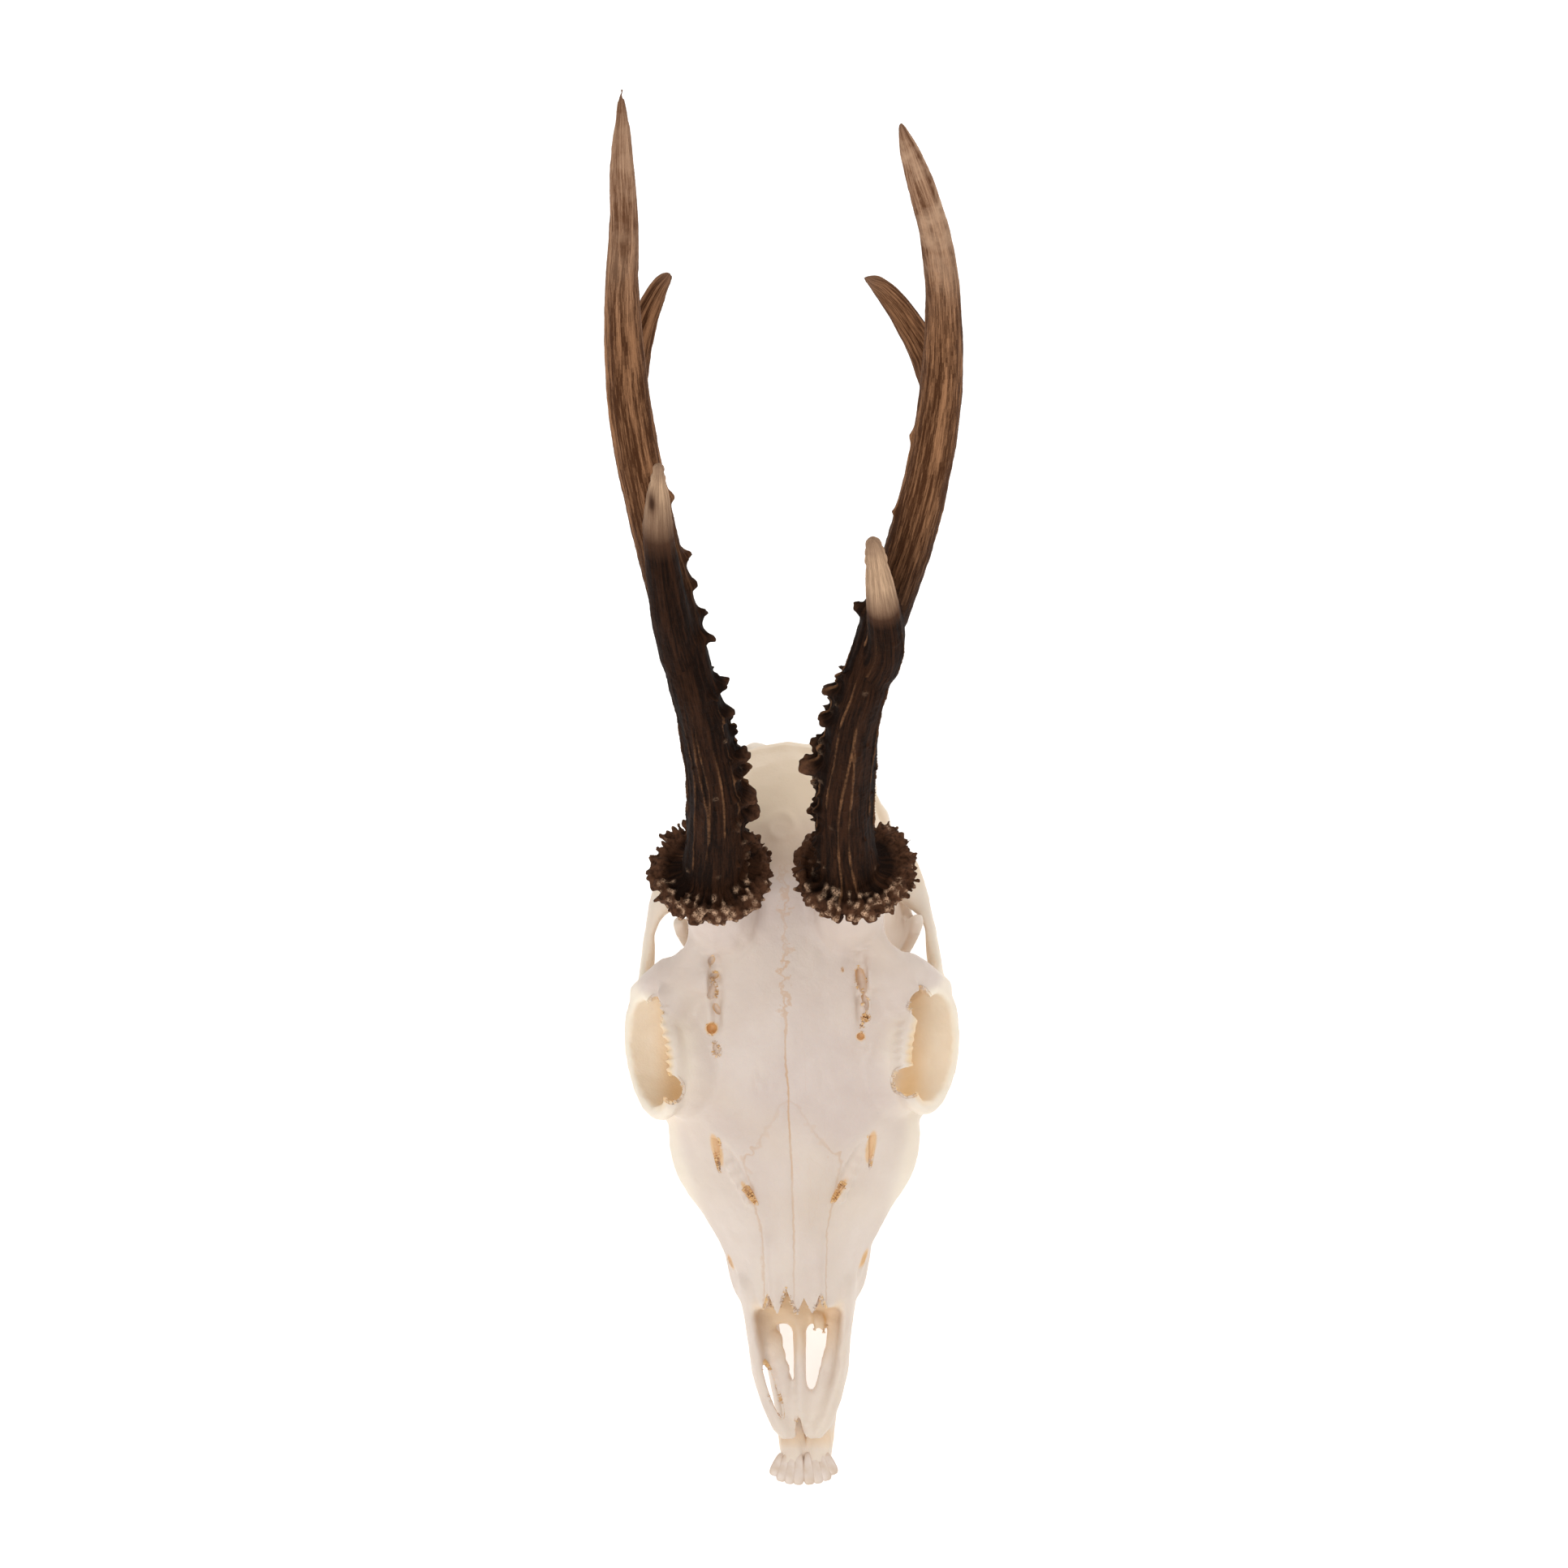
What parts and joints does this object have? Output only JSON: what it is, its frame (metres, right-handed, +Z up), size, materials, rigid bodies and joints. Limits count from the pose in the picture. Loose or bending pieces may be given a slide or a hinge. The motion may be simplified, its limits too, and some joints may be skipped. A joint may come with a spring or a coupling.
{
  "type": "roe deer skull",
  "caption": "Long narrow skull of a small deer with upright, knobbly, branched antlers on round crowns, open eye sockets, a slender pointed muzzle and a loose lower jaw.",
  "frame": {"origin": "on the floor, under the middle of the whole part's bounding box", "axes": "-Y towards the nose, +Y towards the back of the head and the antlers' tips, +X to the animal's left, +Z up from the floor"},
  "size_m": [0.094, 0.2717, 0.3286],
  "materials": {
    "bone": "cleaned dry bone, matt, ivory white with creamy yellow hollows",
    "antler": "rough dark brown antler, paler on ridges and points"
  },
  "bodies": {
    "root": {"braincase": "bone", "frontal_left": "bone", "frontal_right": "bone", "nasal_left": "bone", "nasal_right": "bone", "premaxilla_left": "bone", "premaxilla_right": "bone", "maxilla_left": "bone", "maxilla_right": "bone", "zygomatic_left": "bone", "zygomatic_right": "bone", "mandible_left": "bone", "mandible_right": "bone", "antler_left_lower_beam": "antler", "antler_left_middle_beam": "antler", "antler_left_top_point": "antler", "antler_left_front_tine": "antler", "antler_left_rear_tine": "antler", "antler_right_lower_beam": "antler", "antler_right_middle_beam": "antler", "antler_right_top_point": "antler", "antler_right_front_tine": "antler", "antler_right_rear_tine": "antler"}
  },
  "joints": []
}
